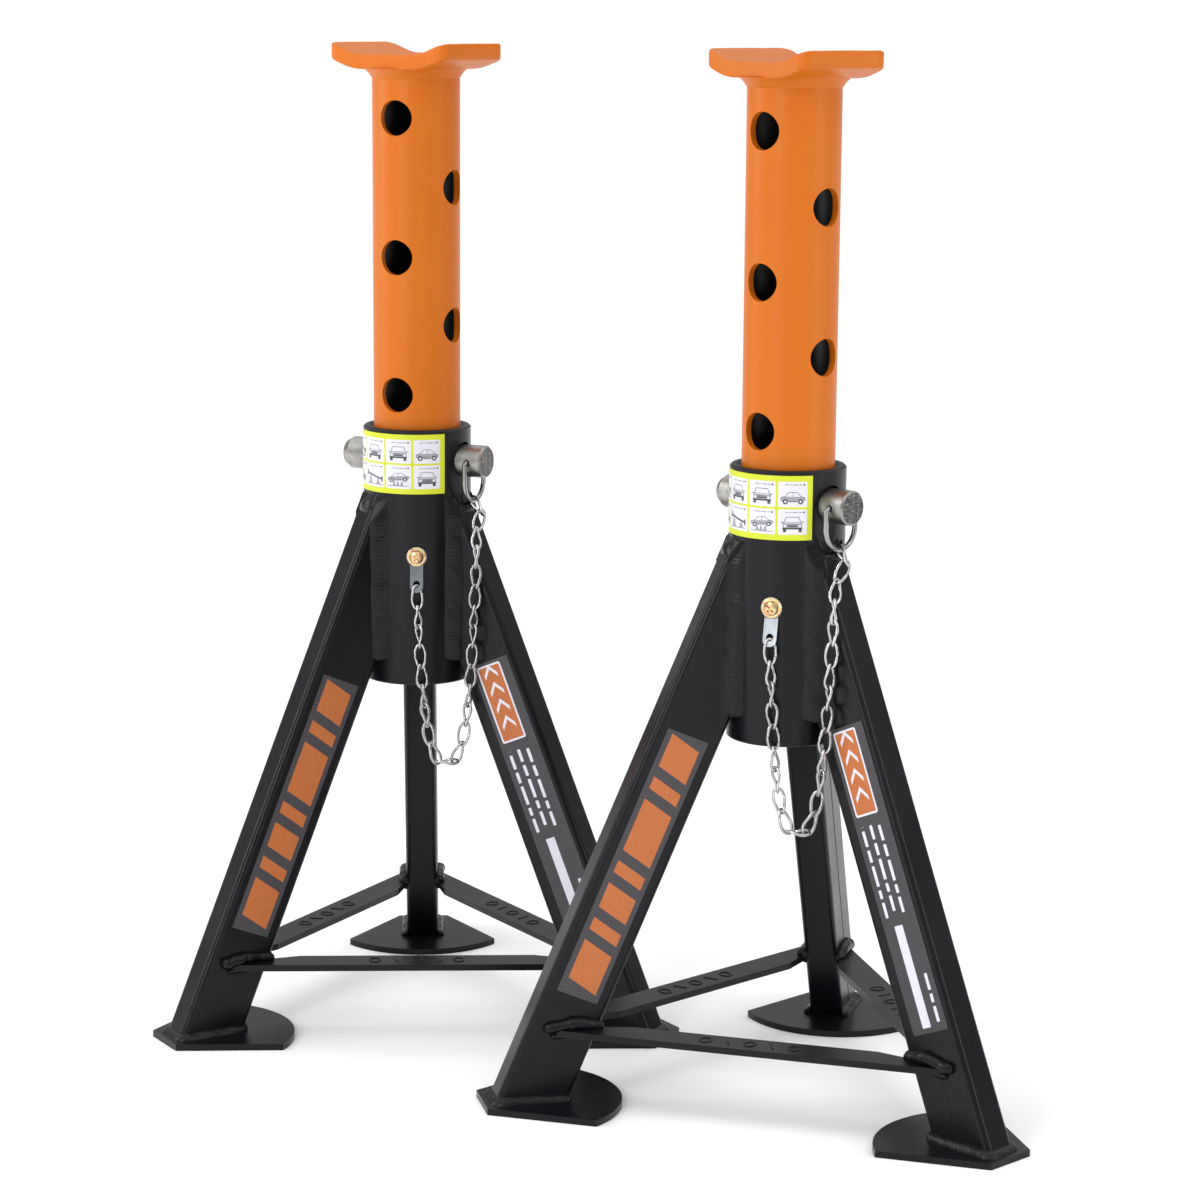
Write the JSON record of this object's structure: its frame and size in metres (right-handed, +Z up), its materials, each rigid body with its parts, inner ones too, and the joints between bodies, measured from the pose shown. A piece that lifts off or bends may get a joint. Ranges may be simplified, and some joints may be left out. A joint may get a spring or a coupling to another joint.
{
  "type": "axle jack stands",
  "caption": "Axle stands with splayed welded legs, telescoping pin-locked columns, trough saddles, ringed locking pins on keeper chains and broad foot plates.",
  "frame": {"origin": "centre of the pair's footprint on the floor", "axes": "+X from stand B's column towards stand A's column, +Z up"},
  "size_m": [0.5816, 0.3478, 0.6093],
  "materials": {
    "black_paint": "satin textured powder coat",
    "orange_paint": "gloss paint",
    "steel": "bare turned steel",
    "zinc": "bright zinc plate",
    "yellow_zinc": "yellow passivated zinc",
    "lime_label": "satin vinyl",
    "dark_label": "satin vinyl"
  },
  "bodies": {
    "a_frame": {"a_sleeve": "black_paint", "a_leg_left": "black_paint", "a_leg_right": "black_paint", "a_leg_back": "black_paint", "a_foot_left": "black_paint", "a_foot_right": "black_paint", "a_foot_back": "black_paint", "a_brace_front": "black_paint", "a_brace_left": "black_paint", "a_brace_right": "black_paint", "a_screw": "yellow_zinc", "a_chain_tab_end": "steel", "a_chain_tab_run": "steel", "a_chain_pin_run": "steel", "a_chain_pin_end": "steel", "a_label_sleeve": "lime_label", "a_label_left": "dark_label", "a_label_right": "dark_label"},
    "a_column": {"a_column": "orange_paint", "a_saddle": "orange_paint"},
    "a_pin": {"a_pin": "steel"},
    "a_ring": {"a_ring": "steel"},
    "a_tab": {"a_tab": "zinc"},
    "b_frame": {"b_sleeve": "black_paint", "b_leg_left": "black_paint", "b_leg_right": "black_paint", "b_leg_back": "black_paint", "b_foot_left": "black_paint", "b_foot_right": "black_paint", "b_foot_back": "black_paint", "b_brace_front": "black_paint", "b_brace_left": "black_paint", "b_brace_right": "black_paint", "b_screw": "yellow_zinc", "b_chain_tab_end": "steel", "b_chain_tab_run": "steel", "b_chain_pin_run": "steel", "b_chain_pin_end": "steel", "b_label_sleeve": "lime_label", "b_label_left": "dark_label", "b_label_right": "dark_label"},
    "b_column": {"b_column": "orange_paint", "b_saddle": "orange_paint"},
    "b_pin": {"b_pin": "steel"},
    "b_ring": {"b_ring": "steel"},
    "b_tab": {"b_tab": "zinc"}
  },
  "joints": [
    {"name": "a_pin_pull", "type": "slide", "parent": "a_frame", "child": "a_pin", "axis": [0.9895, -0.1444, 0], "range_m": [0, 0.08], "deforming": ["a_chain_tab_run", "a_chain_pin_run"]},
    {"name": "a_column_lift", "type": "slide", "parent": "a_frame", "child": "a_column", "axis": [0, 0, 1], "range_m": [0, 0.0012]},
    {"name": "a_ring_swing", "type": "hinge", "parent": "a_pin", "child": "a_ring", "pos_m": [0.1511, -0.00652, 0.35327], "axis": [-0.1444, -0.9895, 0], "range_deg": [-1, 85], "deforming": ["a_chain_pin_end"]},
    {"name": "a_tab_swing", "type": "hinge", "parent": "a_frame", "child": "a_tab", "pos_m": [0.12255, -0.03234, 0.2955], "axis": [0.3371, -0.9415, 0], "range_deg": [-40, 40], "deforming": ["a_chain_tab_end"]},
    {"name": "b_pin_pull", "type": "slide", "parent": "b_frame", "child": "b_pin", "axis": [0.9829, 0.184, 0], "range_m": [0, 0.08], "deforming": ["b_chain_tab_run", "b_chain_pin_run"]},
    {"name": "b_column_lift", "type": "slide", "parent": "b_frame", "child": "b_column", "axis": [0, 0, 1], "range_m": [0, 0.0012]},
    {"name": "b_ring_swing", "type": "hinge", "parent": "b_pin", "child": "b_ring", "pos_m": [-0.12616, 0.00671, 0.35327], "axis": [0.184, -0.9829, 0], "range_deg": [-1, 85], "deforming": ["b_chain_pin_end"]},
    {"name": "b_tab_swing", "type": "hinge", "parent": "b_frame", "child": "b_tab", "pos_m": [-0.14481, -0.02696, 0.2955], "axis": [0.6239, -0.7815, 0], "range_deg": [-40, 40], "deforming": ["b_chain_tab_end"]},
    {"name": "stand_spacing", "type": "slide", "parent": "a_frame", "child": "b_frame", "axis": [-1, 0, 0], "range_m": [0, 0.4]}
  ]
}
